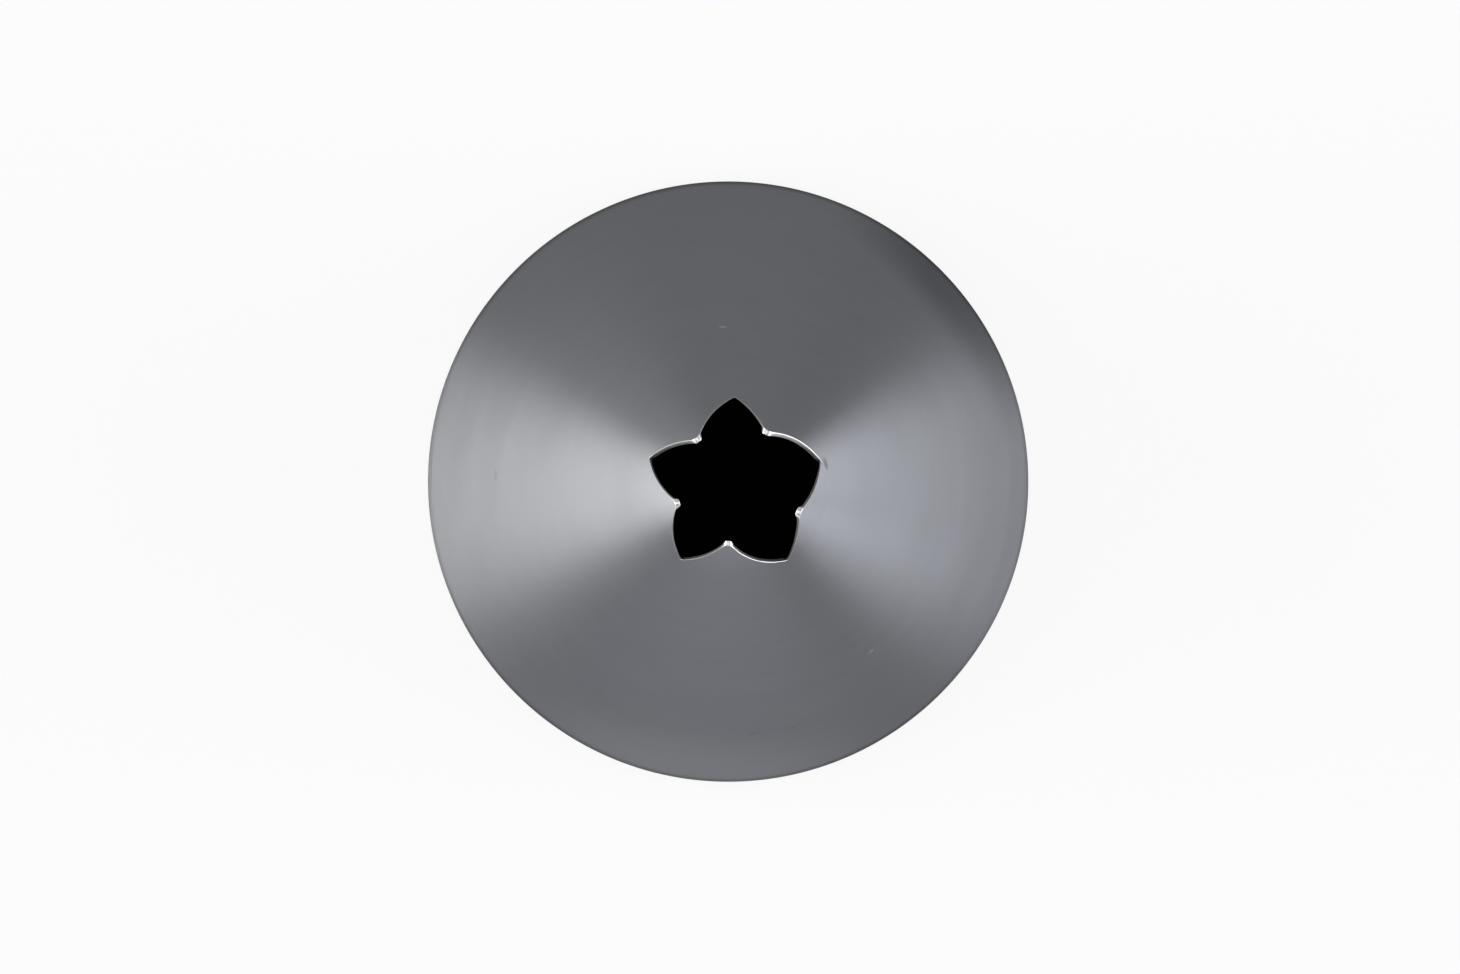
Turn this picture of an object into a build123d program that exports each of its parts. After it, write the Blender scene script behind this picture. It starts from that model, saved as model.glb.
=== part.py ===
from build123d import *
from math import asin, cos, degrees, radians, sin, tan
import os

# Piping nozzle, in millimetres: one drawn cone of thin stainless sheet, small end up.
# Its axis is Z, and it stands on its base rim at z = 0.
base_dia = 33.0          # outside, over the straight land at the base
height = 50.0
sheet_thick = 0.42       # in the hem, the land and the foot of the cone
tip_thick = 0.24         # in the teeth, where drawing has thinned the sheet

# Base: a short straight land, and under it the sheet folded inwards as a flat hem
land_height = 3.0
shoulder_radius = 8.0    # outside, where the land turns into the cone
hem_height = 2.0
hem_gap = 0.2            # hairline left open between the fold and the land
hem_corner = 0.3         # both bottom corners of the fold

# Small end: from the neck up, the wall curves in towards the mouth
neck_dia = 9.5           # outside, where the curve starts
mouth_dia = 6.25         # outside, over the ends of the teeth
curl_height = 4.6

# Five petals are cut down from the mouth, and leave five teeth between them.
# Their places are as uneven as on the object: degrees anticlockwise from +X, seen from above.
petal_depth = 3.8
tooth_width = 0.4        # across the end of a tooth
root_radius = 0.12       # at the bottom of a petal
root_angles = [17, 90, 161, 233.5, 306]
tooth_angles = [60.5, 128, 195, 263, 339]  # each is the tooth that follows the root above it
bow_width_share = 0.55   # the side of a petal curves towards one point, this share of its half width
bow_height_share = 0.70  # out from its root, and this share of its depth up
cutter_near_share = 0.3  # where a petal's cutter starts, as a share of the mouth's radius
overrun = 1.5            # how far the cutters run past the sheet

base_r = base_dia / 2
neck_r = neck_dia / 2
mouth_r = mouth_dia / 2
neck_z = height - curl_height
land_inner_r = base_r - sheet_thick
fold_outer_r = land_inner_r - hem_gap
fold_inner_r = fold_outer_r - sheet_thick
slot_r = hem_gap / 2
slot_z = sheet_thick + slot_r


def petal_outline(distance, anticlockwise_half, clockwise_half):
    """Pointed arch at this distance from the axis, open upwards, in the current sketch."""
    root = (0, height - petal_depth)
    for half_angle in (anticlockwise_half, -clockwise_half):
        half_width = distance * tan(radians(half_angle))
        bow = (half_width * bow_width_share, root[1] + petal_depth * bow_height_share)
        Bezier(root, bow, (half_width, height))
        Line((half_width, height), (half_width, height + overrun))
    Line(
        (distance * tan(radians(anticlockwise_half)), height + overrun),
        (-distance * tan(radians(clockwise_half)), height + overrun),
    )


with BuildPart() as nozzle_shell:
    # The sheet's section, from the fold's free edge round the rim and up the outside
    with BuildSketch(Plane.XZ):
        with BuildLine():
            outside = FilletPolyline(
                (fold_inner_r, hem_height),
                (fold_inner_r, 0),
                (base_r, 0),
                (base_r, land_height),
                (neck_r, neck_z),
                radius=[hem_corner, hem_corner, shoulder_radius],
            )
            cone_line = outside % 1
            outer_curl = TangentArc(outside @ 1, (mouth_r, height), tangent=cone_line)
            tip_line = outer_curl % 1
            # The teeth end flat and level. At the neck the thickness is square to the sheet
            inner_mouth = outer_curl @ 1 - Vector(tip_thick / tip_line.Y, 0)
            inner_neck = outside @ 1 + Vector(-cone_line.Y, cone_line.X) * tip_thick
            Line(outer_curl @ 1, inner_mouth)
            # Down the inside, where the wall thickens towards the base, and into the fold's slot
            inside = FilletPolyline(
                inner_neck,
                (land_inner_r, land_height),
                (land_inner_r, slot_z),
                radius=[shoulder_radius - sheet_thick],
            )
            TangentArc(inner_neck, inner_mouth, tangent=-(inside % 0))
            ThreePointArc(
                (land_inner_r, slot_z),
                (land_inner_r - slot_r, sheet_thick),
                (fold_outer_r, slot_z),
            )
            Polyline((fold_outer_r, slot_z), (fold_outer_r, hem_height), (fold_inner_r, hem_height))
        make_face()
    revolve(axis=Axis.Z)

    # Each cutter narrows towards the axis, so the cut walls point at the axis
    half_tooth = degrees(asin(tooth_width / mouth_dia))
    previous_teeth = [tooth_angles[-1] - 360] + tooth_angles[:-1]
    for root_angle, next_tooth, last_tooth in zip(root_angles, tooth_angles, previous_teeth):
        outwards = Vector(cos(radians(root_angle)), sin(radians(root_angle)), 0)
        sideways = Vector(-outwards.Y, outwards.X, 0)
        for distance in (mouth_r * cutter_near_share, neck_r + overrun):
            with BuildSketch(Plane(origin=outwards * distance, x_dir=sideways, z_dir=outwards)) as arch:
                with BuildLine():
                    petal_outline(
                        distance,
                        next_tooth - half_tooth - root_angle,
                        root_angle - half_tooth - last_tooth,
                    )
                make_face()
                fillet(arch.vertices().sort_by(Axis.Y)[0], root_radius * distance / neck_r)
        loft(ruled=True, mode=Mode.SUBTRACT)

nozzle_shell.part.label = "nozzle_shell"

os.makedirs("parts", exist_ok=True)
export_step(nozzle_shell.part, "parts/nozzle_shell.step")
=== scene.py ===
import bpy
import math
from mathutils import Matrix, Vector


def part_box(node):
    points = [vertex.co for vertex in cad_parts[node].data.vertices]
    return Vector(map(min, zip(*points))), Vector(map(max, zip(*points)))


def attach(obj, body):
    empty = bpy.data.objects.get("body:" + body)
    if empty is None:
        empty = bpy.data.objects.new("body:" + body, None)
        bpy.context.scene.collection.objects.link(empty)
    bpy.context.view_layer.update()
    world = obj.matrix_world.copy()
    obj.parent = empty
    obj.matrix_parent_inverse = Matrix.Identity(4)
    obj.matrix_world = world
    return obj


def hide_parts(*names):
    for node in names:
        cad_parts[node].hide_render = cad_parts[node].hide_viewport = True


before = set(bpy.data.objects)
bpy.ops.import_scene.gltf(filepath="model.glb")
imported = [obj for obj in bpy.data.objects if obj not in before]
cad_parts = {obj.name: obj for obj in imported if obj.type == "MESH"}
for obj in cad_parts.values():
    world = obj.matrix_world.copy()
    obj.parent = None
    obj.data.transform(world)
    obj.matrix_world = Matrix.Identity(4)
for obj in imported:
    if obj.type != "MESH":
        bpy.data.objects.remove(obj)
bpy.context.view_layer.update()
shellLow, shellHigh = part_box("nozzle_shell")
mm = 0.001
across, high = round(shellHigh.x * 2 / mm, 1), round(shellHigh.z / mm, 1)
print("Frame loaded: nozzle", across, "mm across,", high, "mm high")


# sRGB hex to the linear values that shaders take
def linearColour(hexCode):
    values = [int(hexCode[i:i + 2], 16) / 255 for i in (1, 3, 5)]
    return tuple(v / 12.92 if v <= 0.04045 else ((v + 0.055) / 1.055) ** 2.4 for v in values) + (1.0,)


# Adds a node, sets its settings, and fills each input with a value or with another node's output
def addNode(tree, kind, inputs=None, **settings):
    node = tree.nodes.new(kind)
    for name, value in settings.items():
        setattr(node, name, value)
    for name, value in (inputs or {}).items():
        if isinstance(value, bpy.types.NodeSocket):
            tree.links.new(value, node.inputs[name])
        else:
            node.inputs[name].default_value = value
    return node


# The drawn shell, in mm: its section, from the straight land at the base to the teeth
shell = {
    "baseRadius": shellHigh.x / mm,
    "height": shellHigh.z / mm,
    "sheet": 0.42,            # thickness at the base
    "tipSheet": 0.24,         # thickness in the teeth
    "landHeight": 3.0,
    "shoulderRadius": 8.0,
    "shoulderShare": 0.32,    # share of that radius above the land, where the straight cone's rows start
    "hemHeight": 2.0,
    "hemGap": 0.2,
    "hemCorner": 0.3,
    "neckRadius": 4.75,
    "mouthRadius": 3.125,
    "curlHeight": 4.6,
    "foldEdge": 0.08,         # rounding of the fold's free edge
    "coneRows": 46,
    "insideRows": 20,
    "arcSteps": 8,
}

# The cut star, in mm and in degrees anticlockwise from +X, seen from above
petals = {
    "depth": 3.8,
    "toothWidth": 0.4,
    "rootAngles": [17, 90, 161, 233.5, 306],
    "toothAngles": [60.5, 128, 195, 263, 339],
    "bowWidth": 0.55,         # shares of a petal's half width and depth
    "bowHeight": 0.70,
    "toothLean": [0.15, 0.02, -0.03, -0.22, 0.38],    # how far each tooth end stands out or in
    "leanCurve": 1.5,         # the lean grows with this power of the height above the roots
    "wallBefore": [0.03, 0.03, 0.215, 0.04, 0.17],    # width of cut wall that shows from above,
    "wallAfter": [0.215, 0.03, 0.08, 0.15, 0.04],     # on each side of a petal's root
    "wallTurn": 6,            # degrees round a root, over which one side's wall turns into the other's
    "toothWallTurn": 3,       # degrees beside a tooth, over which its end turns into the wall
    "rootRound": 0.25,
    "toothRound": 0.28,
    "cutEdge": 0.035,         # deburring of the cut edges
    "cutReach": 0.06,         # how far it may eat into a thin edge
    "rowStart": 44.3,         # below this height no row follows the cut
    "rowGap": 0.1,            # the first row keeps this far from the cut
    "outerRows": 16,
    "innerRows": 12,
    "edgeSteps": 4,
    "sideColumns": 56,
    "endColumns": 5,
    "crowding": 0.6,          # how much closer the columns stand at roots and teeth than between them
}

neckZ = shell["height"] - shell["curlHeight"]
rootZ = shell["height"] - petals["depth"]
landInner = shell["baseRadius"] - shell["sheet"]
halfTooth = math.degrees(math.asin(petals["toothWidth"] / 2 / shell["mouthRadius"]))


# Circle that leaves a straight side at its start and passes through its end: centre and radius
def curlCircle(foot, start, end):
    along = (start - foot).normalized()
    chord = end - start
    normal = Vector((-along.y, along.x))
    radius = chord.length_squared / (2 * chord.dot(normal))
    return start + normal * radius, abs(radius), along


outerFoot = Vector((shell["baseRadius"], shell["landHeight"]))
outerNeck = Vector((shell["neckRadius"], neckZ))
outerMouth = Vector((shell["mouthRadius"], shell["height"]))
outerCurl, outerCurlRadius, outerAlong = curlCircle(outerFoot, outerNeck, outerMouth)
mouthSlope = math.asin((shell["height"] - outerCurl.y) / outerCurlRadius)
innerFoot = Vector((landInner, shell["landHeight"]))
innerNeck = outerNeck + Vector((-outerAlong.y, outerAlong.x)) * shell["tipSheet"]
innerMouth = outerMouth - Vector((shell["tipSheet"] / math.cos(mouthSlope), 0))
innerCurl, innerCurlRadius, innerAlong = curlCircle(innerFoot, innerNeck, innerMouth)


# Radius of the outer or inner skin at a height, on the straight side or on the curl above it
def skinRadius(z, foot, neck, curl, curlRadius):
    if z < neck.y:
        return foot.x + (neck.x - foot.x) * (z - foot.y) / (neck.y - foot.y)
    return curl.x + math.sqrt(curlRadius ** 2 - (z - curl.y) ** 2)


def outerSkin(z):
    return skinRadius(z, outerFoot, outerNeck, outerCurl, outerCurlRadius)


def innerSkin(z):
    return skinRadius(z, innerFoot, innerNeck, innerCurl, innerCurlRadius)


# Height at which the inner skin has a radius
def innerHeight(radius):
    if radius > innerNeck.x:
        rise = (innerNeck.y - innerFoot.y) / (innerNeck.x - innerFoot.x)
        return innerFoot.y + rise * (radius - innerFoot.x)
    return innerCurl.y + math.sqrt(innerCurlRadius ** 2 - (radius - innerCurl.x) ** 2)


def smoothMin(a, b, reach):
    near = max(reach - abs(a - b), 0) / reach
    return min(a, b) - near * near * reach / 4


def smoothStep(value):
    value = min(max(value, 0), 1)
    return value * value * (3 - 2 * value)


# Root before an angle, tooth before it and tooth after it: each petal runs from tooth to tooth
def petalAt(angle):
    teeth, roots = petals["toothAngles"], petals["rootAngles"]
    for index, root in enumerate(roots):
        before = teeth[index - 1] - (360 if index == 0 else 0)
        for turn in (0, 360, -360):
            if before <= angle + turn <= teeth[index]:
                return index, angle + turn, root, before, teeth[index]


# Height of one side of a petal above its root, at a share of its half width
def sideHeight(share):
    width, height = petals["bowWidth"], petals["bowHeight"]
    u = (math.sqrt(width ** 2 + (1 - 2 * width) * share) - width) / (1 - 2 * width)
    return petals["depth"] * (2 * u * (1 - u) * height + u * u)


# Height of the cut at an angle
def cutHeight(angle):
    index, angle, root, before, after = petalAt(angle)
    across = math.tan(math.radians(angle - root))
    ahead = sideHeight(across / math.tan(math.radians(after - halfTooth - root)))
    behind = sideHeight(-across / math.tan(math.radians(root - halfTooth - before)))
    lifted = rootZ - smoothMin(-ahead, -behind, petals["rootRound"])
    return smoothMin(lifted, shell["height"], petals["toothRound"])


# Width of the cut wall seen from above: the whole thickness on a tooth's end, little on most sides
def wallWidth(angle):
    index, angle, root, before, after = petalAt(angle)
    whole = outerSkin(shell["height"]) - innerSkin(shell["height"])
    mix = smoothStep((angle - root) / petals["wallTurn"] + 0.5)
    side = petals["wallBefore"][index] * (1 - mix) + petals["wallAfter"][index] * mix
    # The whole width reaches a little past a tooth's corners
    fromTooth = min(after - angle, angle - before) - halfTooth
    return whole + (side - whole) * smoothStep(fromTooth / petals["toothWallTurn"] + 0.2)


# Each tooth leans in or out a little from its foot
def lean(angle, point):
    index, angle, root, before, after = petalAt(angle)
    tooth = index if angle > root else index - 1
    up = max(point.y - rootZ, 0) / petals["depth"]
    out = petals["toothLean"][tooth] * up ** petals["leanCurve"]
    return point + Vector((out, min(out, 0) * math.tan(mouthSlope)))


# A path through corners, each (zone, point, radius, steps): a radius turns the corner into an arc.
# Each point of the path keeps its corner's zone, which is its finish
def roundedPath(corners):
    path = []
    for index, (zone, at, radius, steps) in enumerate(corners):
        if radius == 0:
            path.append((zone, at))
            continue
        back = corners[index - 1][1] - at
        ahead = corners[(index + 1) % len(corners)][1] - at
        half = back.angle(ahead) / 2
        # An arc takes less than half of each side beside it
        reach = min(radius / math.tan(half), back.length * 0.45, ahead.length * 0.45)
        if radius <= petals["cutEdge"]:
            reach = min(reach, petals["cutReach"])
        radius = reach * math.tan(half)
        back.normalize()
        ahead.normalize()
        centre = at + (back + ahead).normalized() * (radius / math.sin(half))
        start, end = at + back * reach - centre, at + ahead * reach - centre
        turn = start.angle_signed(end)
        for step in range(steps + 1):
            part = -turn * step / steps
            cosine, sine = math.cos(part), math.sin(part)
            offset = Vector((start.x * cosine - start.y * sine, start.x * sine + start.y * cosine))
            path.append((zone, centre + offset))
    return path


# The sheet's section at an angle: over the cut, down the inside, round the hem and up the outside
def sectionAt(angle):
    topZ = cutHeight(angle)
    outerEdge = Vector((outerSkin(topZ), topZ))
    innerEdgeRadius = outerEdge.x - wallWidth(angle)
    innerEdge = Vector((innerEdgeRadius, innerHeight(innerEdgeRadius)))
    low, gap = petals["rowStart"], petals["rowGap"]
    shoulderTop = shell["landHeight"] + shell["shoulderRadius"] * shell["shoulderShare"]
    corners = [
        ("cut", outerEdge, petals["cutEdge"], petals["edgeSteps"]),
        ("cut", (outerEdge + innerEdge) / 2, 0, 0),
        ("cut", innerEdge, petals["cutEdge"], petals["edgeSteps"]),
    ]
    for row in range(petals["innerRows"]):
        z = innerEdge.y - gap + (low - innerEdge.y + gap) * row / petals["innerRows"]
        corners.append(("inside", Vector((innerSkin(z), z)), 0, 0))
    for row in range(shell["insideRows"] + 1):
        z = low + (shoulderTop - low) * row / shell["insideRows"]
        corners.append(("inside", Vector((innerSkin(z), z)), 0, 0))
    foldOuter = landInner - shell["hemGap"]
    foldInner = foldOuter - shell["sheet"]
    slotRadius, steps = shell["hemGap"] / 2, shell["arcSteps"]
    corners += [
        ("inside", innerFoot, shell["shoulderRadius"] - shell["sheet"], steps),
        ("inside", Vector((landInner, shell["sheet"])), slotRadius, steps // 2),
        ("inside", Vector((foldOuter, shell["sheet"])), slotRadius, steps // 2),
        ("inside", Vector((foldOuter, shell["hemHeight"])), shell["foldEdge"], steps // 2),
        ("inside", Vector((foldInner, shell["hemHeight"])), shell["foldEdge"], steps // 2),
        ("outside", Vector((foldInner, 0)), shell["hemCorner"], steps),
        ("outside", Vector((shell["baseRadius"], 0)), shell["hemCorner"], steps),
        ("outside", outerFoot, shell["shoulderRadius"], steps),
    ]
    for row in range(shell["coneRows"]):
        z = shoulderTop + (low - shoulderTop) * row / shell["coneRows"]
        corners.append(("outside", Vector((outerSkin(z), z)), 0, 0))
    for row in range(petals["outerRows"]):
        z = low + (topZ - gap - low) * row / (petals["outerRows"] - 1)
        corners.append(("outside", Vector((outerSkin(z), z)), 0, 0))
    return [(zone, lean(angle, point)) for zone, point in roundedPath(corners)]


# Angles of the mesh's columns: close together at the roots and at the corners of the teeth
def columnAngles():
    angles = []
    teeth, roots = petals["toothAngles"], petals["rootAngles"]
    for index, root in enumerate(roots):
        nextRoot = roots[index + 1] if index < len(roots) - 1 else roots[0] + 360
        tooth = teeth[index]
        stops = [root, tooth - halfTooth, tooth, tooth + halfTooth, nextRoot]
        sides, ends = petals["sideColumns"], petals["endColumns"]
        counts = [sides, ends, ends, sides]
        for first, last, count in zip(stops, stops[1:], counts):
            for column in range(count):
                share = column / count
                if count == sides:
                    share -= petals["crowding"] * math.sin(2 * math.pi * share) / (2 * math.pi)
                angles.append(first + (last - first) * share)
    return angles


def buildShell():
    angles = columnAngles()
    sections = [sectionAt(angle) for angle in angles]
    columns, rows = len(angles), len(sections[0])
    points = []
    for angle, section in zip(angles, sections):
        across = Vector((math.cos(math.radians(angle)), math.sin(math.radians(angle)), 0)) * mm
        points += [across * point.x + Vector((0, 0, point.y * mm)) for zone, point in section]
    faces = []
    for column in range(columns):
        here, there = column * rows, (column + 1) % columns * rows
        for row in range(rows):
            after = (row + 1) % rows
            faces.append((here + row, there + row, there + after, here + after))
    mesh = bpy.data.meshes.new("nozzleShell")
    mesh.from_pydata(points, [], faces)
    mesh.shade_smooth()
    for face in mesh.polygons:
        face.material_index = ("outside", "cut", "inside").index(sections[0][face.index % rows][0])
    # One map for the whole sheet: the turn round the axis goes across it, and the section goes up it
    lengths = [0.0]
    for row in range(rows):
        step = sections[0][(row + 1) % rows][1] - sections[0][row][1]
        lengths.append(lengths[-1] + step.length)
    bakeMap = mesh.uv_layers.new(name="OFBake")
    for face in mesh.polygons:
        column, row = divmod(face.index, rows)
        left, right = column / columns, (column + 1) / columns
        low, high = lengths[row] / lengths[-1], lengths[row + 1] / lengths[-1]
        places = ((left, low), (right, low), (right, high), (left, high))
        for loop, place in zip(face.loop_indices, places):
            bakeMap.data[loop].uv = place
    piece = bpy.data.objects.new("nozzleShellSteel", mesh)
    bpy.context.collection.objects.link(piece)
    print("Shell:", columns, "columns,", rows, "rows,", len(faces) * 2, "triangles")
    return piece


# Values between which nearly all of the noise texture lies
noiseLow, noiseHigh = 0.3, 0.7

# Satin stainless steel, polished on a spindle: fine scratches run round the cone. They spread a
# lamp's light along the slope and keep it narrow round the axis, so each lamp shows as a long wedge
satin = {
    "colour": "#7f8084",
    "dullColour": "#77787c",  # where fingers have left a film
    "edgeTint": "#808080",    # how much of the light stays at a grazing angle
    "baseRoughness": 0.305,
    "tipRoughness": 0.345,    # drawing has stretched and roughened the small end more
    "filmRoughness": 0.012,
    "ringRoughness": 0.006,
    "paintedLandShade": 0.35,        # painted shade: the land's colour is made this much darker, for the contact shadow it reflects
    "landTop": 4.2,           # mm, where that begins
    "landFull": 2.5,          # mm, and where it is whole
    "landPaintedShadeTint": "#3c3c3c",    # painted shade: the land's share of light at a grazing angle, a thin dark outline for the contact shadow it reflects
    "insideRoughness": 0.06,  # more than outside: no wheel has been in there
    "anisotropy": 1.0,
    "scratchPitch": 0.10,     # mm up the axis; real ones are about 0.02 mm apart, too fine to show
    "scratchRun": 1.6,        # new scratches start after this share of a radian, turned over
    "scratchDepth": 0.0004,   # mm
    "ringPitch": 0.9,         # mm up the axis, between the faint rings that the polishing wheel left
    "ringRun": 0.4,
    "filmSize": 5.0,          # mm
}

# Marks on the cone, and painted shade: degrees round the axis, mm up it, mm across, and how dark or light.
# The first is a wide painted shade near the base, the second a wide lighter patch near the base, the last is
# a nick beside a petal's root, and the others are specks
marksAndPaintedShade = [(38, 4.0, 12.0, -0.30), (262, 3.5, 16.0, 0.05), (178, 17.4, 0.5, -0.30), (275.5, 13.8, 0.5, -0.2),
         (284.5, 13.6, 0.5, -0.2), (310, 20.8, 0.35, 0.2), (93.5, 33.0, 0.35, 0.15), (14.5, 45.5, 0.6, -0.45)]

# The sheared and deburred edge of the same sheet: bright metal, with no scratches in one direction
cutEdge = {
    "colour": "#d8d8d8",
    "dullColour": "#b4b4b6",
    "roughness": 0.36,
    "roughnessSpread": 0.04,
    "tearSize": 0.12,         # mm, the torn grain that a shear leaves
    "tearDepth": 0.001,       # mm
}


# Starts a material and hands back its tree and the place in the object's own space, in mm
def newMaterial(name):
    material = bpy.data.materials.new(name)
    material.use_nodes = True
    tree = material.node_tree
    tree.nodes.clear()
    place = addNode(tree, "ShaderNodeTexCoord").outputs["Object"]
    inMm = addNode(tree, "ShaderNodeVectorMath", {
        0: place, 1: (1 / mm,) * 3,
    }, operation="MULTIPLY").outputs[0]
    return material, tree, inMm


# Noise drawn out round the axis: it changes `run` times a radian, and every `pitch` mm up the axis
def ringNoise(tree, inMm, run, pitch, detail):
    flat = addNode(tree, "ShaderNodeVectorMath", {
        0: inMm, 1: (1, 1, 0),
    }, operation="MULTIPLY").outputs[0]
    around = addNode(tree, "ShaderNodeVectorMath", {0: flat}, operation="NORMALIZE").outputs[0]
    turned = addNode(tree, "ShaderNodeVectorMath", {
        0: around, 1: (run,) * 3,
    }, operation="MULTIPLY").outputs[0]
    raised = addNode(tree, "ShaderNodeVectorMath", {
        0: inMm, 1: (0, 0, 1 / pitch),
    }, operation="MULTIPLY").outputs[0]
    where = addNode(tree, "ShaderNodeVectorMath", {0: turned, 1: raised}, operation="ADD").outputs[0]
    noise = addNode(tree, "ShaderNodeTexNoise", {"Vector": where, "Scale": 1.0, "Detail": detail})
    return noise.outputs["Fac"]


# Satin steel: the shader's long direction is turned to point up the slope, across the scratches, and
# the roughness differs a little from ring to ring and where hands have left a film
def satinSteel(name, extraRoughness):
    material, tree, inMm = newMaterial(name)
    scratches = ringNoise(tree, inMm, satin["scratchRun"], satin["scratchPitch"], 3.0)
    rings = ringNoise(tree, inMm, satin["ringRun"], satin["ringPitch"], 2.0)
    film = addNode(tree, "ShaderNodeTexNoise", {
        "Vector": inMm, "Scale": 1 / satin["filmSize"], "Detail": 4.0,
    }).outputs["Fac"]
    ringPart = addNode(tree, "ShaderNodeMapRange", {
        "Value": rings, "From Min": noiseLow, "From Max": noiseHigh,
        "To Min": -satin["ringRoughness"], "To Max": satin["ringRoughness"],
    }).outputs["Result"]
    filmPart = addNode(tree, "ShaderNodeMapRange", {
        "Value": film, "From Min": noiseLow, "From Max": noiseHigh,
        "To Min": -satin["filmRoughness"], "To Max": satin["filmRoughness"],
    }).outputs["Result"]
    height = addNode(tree, "ShaderNodeSeparateXYZ", {0: inMm}).outputs["Z"]
    drawnPart = addNode(tree, "ShaderNodeMapRange", {
        "Value": height, "From Min": 0.0, "From Max": shell["height"],
        "To Min": satin["baseRoughness"] + extraRoughness, "To Max": satin["tipRoughness"] + extraRoughness,
    }).outputs["Result"]
    roughness = addNode(tree, "ShaderNodeMath", {0: ringPart, 1: filmPart}, operation="ADD").outputs[0]
    roughness = addNode(tree, "ShaderNodeMath", {0: roughness, 1: drawnPart}, operation="ADD").outputs[0]
    colour = addNode(tree, "ShaderNodeMix", {
        0: film, 6: linearColour(satin["colour"]), 7: linearColour(satin["dullColour"]),
    }, data_type="RGBA").outputs[2]
    # Painted shade: the colour darkens towards the base, over the land
    paintedLandShade = addNode(tree, "ShaderNodeMapRange", {
        "Value": height, "From Min": satin["landTop"], "From Max": satin["landFull"],
        "To Min": 0.0, "To Max": satin["paintedLandShade"],
    }, interpolation_type="SMOOTHSTEP").outputs["Result"]
    colour = addNode(tree, "ShaderNodeMix", {
        0: paintedLandShade, 6: colour, 7: (0, 0, 0, 1),
    }, data_type="RGBA").outputs[2]
    # Painted shade: on the land less light stays at a grazing angle, which draws a thin dark outline
    paintedOutlineMask = addNode(tree, "ShaderNodeMapRange", {
        "Value": height, "From Min": satin["landTop"], "From Max": shell["landHeight"],
    }, interpolation_type="SMOOTHSTEP").outputs["Result"]
    edgeTint = addNode(tree, "ShaderNodeMix", {
        0: paintedOutlineMask, 6: linearColour(satin["edgeTint"]), 7: linearColour(satin["landPaintedShadeTint"]),
    }, data_type="RGBA").outputs[2]
    # Each mark, painted shade among them, is whole up to a fifth of its size from its centre and gone at four
    # fifths
    for azimuth, upAxis, size, tone in marksAndPaintedShade:
        turn, radius = math.radians(azimuth), outerSkin(upAxis)
        centre = (radius * math.cos(turn), radius * math.sin(turn), upAxis)
        away = addNode(tree, "ShaderNodeVectorMath", {
            0: inMm, 1: centre,
        }, operation="DISTANCE").outputs["Value"]
        cover = addNode(tree, "ShaderNodeMapRange", {
            "Value": away, "From Min": size * 0.8, "From Max": size * 0.2,
            "To Min": 0.0, "To Max": abs(tone),
        }, interpolation_type="SMOOTHSTEP").outputs["Result"]
        shade = (0, 0, 0, 1) if tone < 0 else (1, 1, 1, 1)
        colour = addNode(tree, "ShaderNodeMix", {0: cover, 6: colour, 7: shade}, data_type="RGBA").outputs[2]
    bump = addNode(tree, "ShaderNodeBump", {
        "Height": scratches, "Distance": satin["scratchDepth"] * mm,
    }).outputs["Normal"]
    tangent = addNode(tree, "ShaderNodeTangent", direction_type="RADIAL", axis="Z").outputs["Tangent"]
    steel = addNode(tree, "ShaderNodeBsdfPrincipled", {
        "Base Color": colour, "Metallic": 1.0, "Roughness": roughness, "Normal": bump, "Tangent": tangent,
        "Specular Tint": edgeTint,
        "Anisotropic": satin["anisotropy"], "Anisotropic Rotation": 0.25,
    })
    addNode(tree, "ShaderNodeOutputMaterial", {"Surface": steel.outputs["BSDF"]})
    return material


# Bright sheared steel: a fine torn grain breaks up its glint
def shearedSteel():
    material, tree, inMm = newMaterial("shearedBrightSteel")
    grain = addNode(tree, "ShaderNodeTexNoise", {
        "Vector": inMm, "Scale": 1 / cutEdge["tearSize"], "Detail": 2.0,
    }).outputs["Fac"]
    roughness = addNode(tree, "ShaderNodeMapRange", {
        "Value": grain, "From Min": noiseLow, "From Max": noiseHigh,
        "To Min": cutEdge["roughness"] - cutEdge["roughnessSpread"],
        "To Max": cutEdge["roughness"] + cutEdge["roughnessSpread"],
    }).outputs["Result"]
    colour = addNode(tree, "ShaderNodeMix", {
        0: grain, 6: linearColour(cutEdge["dullColour"]), 7: linearColour(cutEdge["colour"]),
    }, data_type="RGBA").outputs[2]
    bump = addNode(tree, "ShaderNodeBump", {
        "Height": grain, "Distance": cutEdge["tearDepth"] * mm,
    }).outputs["Normal"]
    steel = addNode(tree, "ShaderNodeBsdfPrincipled", {
        "Base Color": colour, "Metallic": 1.0, "Roughness": roughness, "Normal": bump,
    })
    addNode(tree, "ShaderNodeOutputMaterial", {"Surface": steel.outputs["BSDF"]})
    return material


nozzle = buildShell()
for material in (satinSteel("satinSpunSteel", 0.0), shearedSteel(),
                 satinSteel("drawnInsideSteel", satin["insideRoughness"])):
    nozzle.data.materials.append(material)
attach(nozzle, "root")
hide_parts("nozzle_shell")

# The studio, in mm: a pale floor, a black card under the nozzle that paints the shade inside it, and soft
# lamps
studio = {
    "floorSize": 3000,
    "floorColour": "#fafafa",
    "floorGlow": 0.88,        # share of plain white that eyes and reflections see in the floor
    "contactStart": 15.9,     # mm from the axis: up to here the floor doesn't glow at all
    "contactEdge": 16.4,      # mm from the axis, where the painted contact shadow ends for the eye
    "contactFade": 21.0,      # mm from the axis, where the painted contact shadow has faded out of reflections
    "cardRadius": 13.0,
    "cardThickness": 0.3,
    "cardColour": "#050505",
    "skyStrength": 0.20,
    "horizonStrength": 1.0,
    "hazeTop": 25,            # degrees above the horizon, where its brightness has faded into the sky's
}

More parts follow.
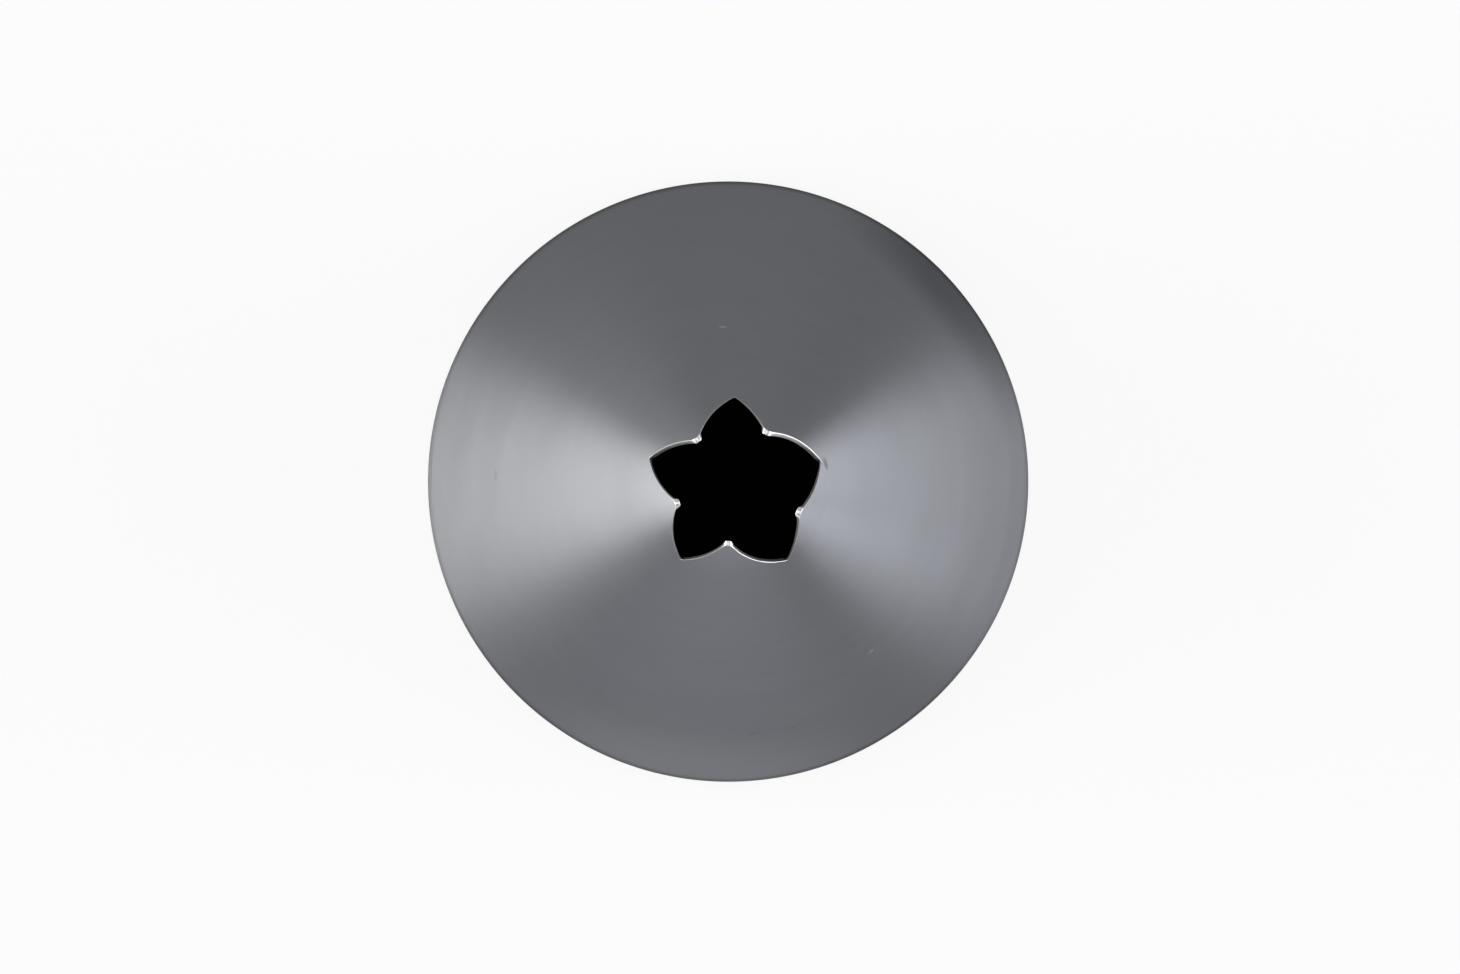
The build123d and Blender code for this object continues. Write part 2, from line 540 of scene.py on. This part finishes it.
# Three softboxes light everything. The others are only seen as reflections in the metal: frontHigh and
# backHigh in the cut edges, and the lower ones as the wedges on the cone. Each stands at an azimuth and
# a distance from the axis, in degrees and mm, and faces the middle of the nozzle. Its light grows weaker
# towards its left and right sides, as through a softbox's cloth, the more so the larger its falloff.
# A radiance of 1 is as bright as plain white
lamps = {
    "leftKey": {"azimuth": 182, "distance": 900, "height": 700, "size": (900, 500),
                "radiance": 3.5, "falloff": 0, "colour": "#ffffff", "lightsFloor": True},
    "rightKey": {"azimuth": 357, "distance": 900, "height": 700, "size": (900, 500),
                 "radiance": 3.5, "falloff": 0, "colour": "#ffffff", "lightsFloor": True},
    "overhead": {"azimuth": 0, "distance": 0, "height": 1100, "size": (420, 420),
                 "radiance": 3.2, "falloff": 0, "colour": "#ffffff", "lightsFloor": True},
    "frontHigh": {"azimuth": 270, "distance": 500, "height": 330, "size": (600, 160),
                  "radiance": 0.9, "falloff": 0.5, "colour": "#ffffff", "lightsFloor": False},
    "backHigh": {"azimuth": 90, "distance": 500, "height": 330, "size": (600, 160),
                 "radiance": 0.8, "falloff": 0.5, "colour": "#ffffff", "lightsFloor": False},
    "left": {"azimuth": 192.4, "distance": 250, "height": 100, "size": (376, 50),
             "radiance": 15.8, "falloff": 2.5, "colour": "#fffffa", "lightsFloor": False},
    "leftHigh": {"azimuth": 180, "distance": 250, "height": 140, "size": (300, 50),
                 "radiance": 24.5, "falloff": 1.0, "colour": "#fffffa", "lightsFloor": False},
    "leftNear": {"azimuth": 164.3, "distance": 100, "height": 30, "size": (79, 25),
                 "radiance": 3.8, "falloff": 1.8, "colour": "#fffffa", "lightsFloor": False},
    "leftWide": {"azimuth": 148.5, "distance": 60, "height": 60, "size": (120, 20),
                 "radiance": 3.9, "falloff": 2.4, "colour": "#fffffa", "lightsFloor": False},
    "front": {"azimuth": 256, "distance": 250, "height": 10, "size": (780, 50),
              "radiance": 4.2, "falloff": 0.3, "colour": "#f2f5ff", "lightsFloor": False},
    "right": {"azimuth": 338, "distance": 60, "height": 42, "size": (79, 20),
              "radiance": 8.8, "falloff": 2.0, "colour": "#f8f9ff", "lightsFloor": False},
    "rightWide": {"azimuth": 355, "distance": 60, "height": 42, "size": (97, 20),
                  "radiance": 1.8, "falloff": 0.5, "colour": "#f8f9ff", "lightsFloor": False},
    "rightHigh": {"azimuth": 13, "distance": 60, "height": 62, "size": (50, 20),
                  "radiance": 13.5, "falloff": 1.0, "colour": "#f8f9ff", "lightsFloor": False},
}


def plainMaterial(name, colour, roughness):
    material = bpy.data.materials.new(name)
    material.use_nodes = True
    shader = material.node_tree.nodes["Principled BSDF"]
    shader.inputs["Base Color"].default_value = linearColour(colour)
    shader.inputs["Roughness"].default_value = roughness
    return material


# Pale paper: the part of it that glows shows only to the camera and in gloss, so its shadows stay. Under
# the nozzle there is no glow, and in reflections it grows with the distance from the rim: painted contact
# shadow
def floorMaterial():
    material = plainMaterial("palePaper", studio["floorColour"], 0.9)
    tree = material.node_tree
    rays = addNode(tree, "ShaderNodeLightPath").outputs
    place = addNode(tree, "ShaderNodeTexCoord").outputs["Object"]
    away = addNode(tree, "ShaderNodeVectorMath", {0: place}, operation="LENGTH").outputs["Value"]
    under = addNode(tree, "ShaderNodeMapRange", {
        "Value": away, "From Min": studio["contactStart"] * mm, "From Max": studio["contactEdge"] * mm,
    }).outputs["Result"]
    beside = addNode(tree, "ShaderNodeMapRange", {
        "Value": away, "From Min": studio["contactEdge"] * mm, "From Max": studio["contactFade"] * mm,
    }).outputs["Result"]
    glossy = addNode(tree, "ShaderNodeMath", {
        0: rays["Is Glossy Ray"], 1: beside,
    }, operation="MULTIPLY").outputs[0]
    seen = addNode(tree, "ShaderNodeMath", {
        0: rays["Is Camera Ray"], 1: rays["Is Transmission Ray"],
    }, operation="ADD", use_clamp=True).outputs[0]
    seen = addNode(tree, "ShaderNodeMath", {0: seen, 1: under}, operation="MULTIPLY").outputs[0]
    seen = addNode(tree, "ShaderNodeMath", {0: seen, 1: glossy}, operation="MAXIMUM").outputs[0]
    share = addNode(tree, "ShaderNodeMath", {0: seen, 1: studio["floorGlow"]}, operation="MULTIPLY")
    glow = addNode(tree, "ShaderNodeEmission", {"Strength": 1.0})
    mixed = addNode(tree, "ShaderNodeMixShader", {
        0: share.outputs[0], 1: tree.nodes["Principled BSDF"].outputs[0], 2: glow.outputs[0],
    })
    tree.links.new(mixed.outputs[0], tree.nodes["Material Output"].inputs["Surface"])
    return material


def addStage():
    half = studio["floorSize"] * mm / 2
    mesh = bpy.data.meshes.new("floor")
    corners = [(-half, -half, 0), (half, -half, 0), (half, half, 0), (-half, half, 0)]
    mesh.from_pydata(corners, [], [(0, 1, 2, 3)])
    floor = bpy.data.objects.new("floor", mesh)
    floor.data.materials.append(floorMaterial())
    # Painted shade: a black disc under the nozzle, so its inside reads dark through the mouth
    bpy.ops.mesh.primitive_cylinder_add(
        vertices=96, radius=studio["cardRadius"] * mm, depth=studio["cardThickness"] * mm,
        location=(0, 0, studio["cardThickness"] * mm / 2),
    )
    card = bpy.context.object
    card.name = "paintedShadeCard"
    card.data.materials.append(plainMaterial("paintedShadeBlack", studio["cardColour"], 1.0))
    bpy.context.collection.objects.link(floor)


def addLamps():
    middle = Vector((0, 0, shell["height"] / 2))
    for name, lamp in lamps.items():
        light = bpy.data.lights.new(name + "Softbox", "AREA")
        light.shape = "RECTANGLE"
        light.size = lamp["size"][0] * mm
        light.size_y = lamp["size"][1] * mm
        # An area lamp's radiance is its power over pi and its area
        light.energy = lamp["radiance"] * math.pi * light.size * light.size_y
        light.color = linearColour(lamp["colour"])[:3]
        light.use_nodes = True
        tree = light.node_tree
        across = addNode(tree, "ShaderNodeNewGeometry").outputs["Parametric"]
        share = addNode(tree, "ShaderNodeSeparateXYZ", {0: across}).outputs["X"]
        turn = addNode(tree, "ShaderNodeMath", {0: share, 1: math.pi}, operation="MULTIPLY").outputs[0]
        arch = addNode(tree, "ShaderNodeMath", {0: turn}, operation="SINE").outputs[0]
        glow = addNode(tree, "ShaderNodeMath", {
            0: arch, 1: lamp["falloff"],
        }, operation="POWER").outputs[0]
        tree.links.new(glow, tree.nodes["Emission"].inputs["Strength"])
        turn = math.radians(lamp["azimuth"])
        place = Vector((math.cos(turn), math.sin(turn), 0)) * lamp["distance"]
        place.z = lamp["height"]
        softbox = bpy.data.objects.new(name + "Softbox", light)
        softbox.location = place * mm
        softbox.rotation_euler = (place - middle).to_track_quat("Z", "Y").to_euler()
        softbox.visible_camera = False
        softbox.visible_diffuse = lamp["lightsFloor"]
        bpy.context.collection.objects.link(softbox)


# White near the horizon, as a lit backdrop is, and dimmer above it
def addWorld():
    world = bpy.data.worlds.new("studioWorld")
    world.use_nodes = True
    tree = world.node_tree
    direction = addNode(tree, "ShaderNodeTexCoord").outputs["Generated"]
    height = addNode(tree, "ShaderNodeSeparateXYZ", {0: direction}).outputs["Z"]
    strength = addNode(tree, "ShaderNodeMapRange", {
        "Value": height, "From Min": 0.0, "From Max": math.sin(math.radians(studio["hazeTop"])),
        "To Min": studio["horizonStrength"], "To Max": studio["skyStrength"],
    }, interpolation_type="SMOOTHSTEP").outputs["Result"]
    background = tree.nodes["Background"]
    background.inputs["Color"].default_value = (1, 1, 1, 1)
    tree.links.new(strength, background.inputs["Strength"])
    bpy.context.scene.world = world


# Straight above the small end, as the photograph is: the picture's up is +Y
camera = {
    "place": (-3.6, 3.1, 500),    # mm
    "aim": (0.0985, -0.295, 2),   # mm
    "lens": 223.4,
    "sensorWidth": 36,
}


def addCamera():
    data = bpy.data.cameras.new("camera")
    data.lens = camera["lens"]
    data.sensor_width = camera["sensorWidth"]
    data.clip_start = 0.01
    view = bpy.data.objects.new("camera", data)
    place, aim = Vector(camera["place"]) * mm, Vector(camera["aim"]) * mm
    back = (place - aim).normalized()
    right = Vector((0, 1, 0)).cross(back).normalized()
    upward = back.cross(right)
    view.matrix_world = Matrix((
        (right.x, upward.x, back.x, place.x),
        (right.y, upward.y, back.y, place.y),
        (right.z, upward.z, back.z, place.z),
        (0, 0, 0, 1),
    ))
    bpy.context.collection.objects.link(view)
    bpy.context.scene.camera = view


addStage()
addLamps()
addWorld()
addCamera()
bpy.context.scene.view_settings.view_transform = "Standard"
print("Stage, lamps and camera placed")
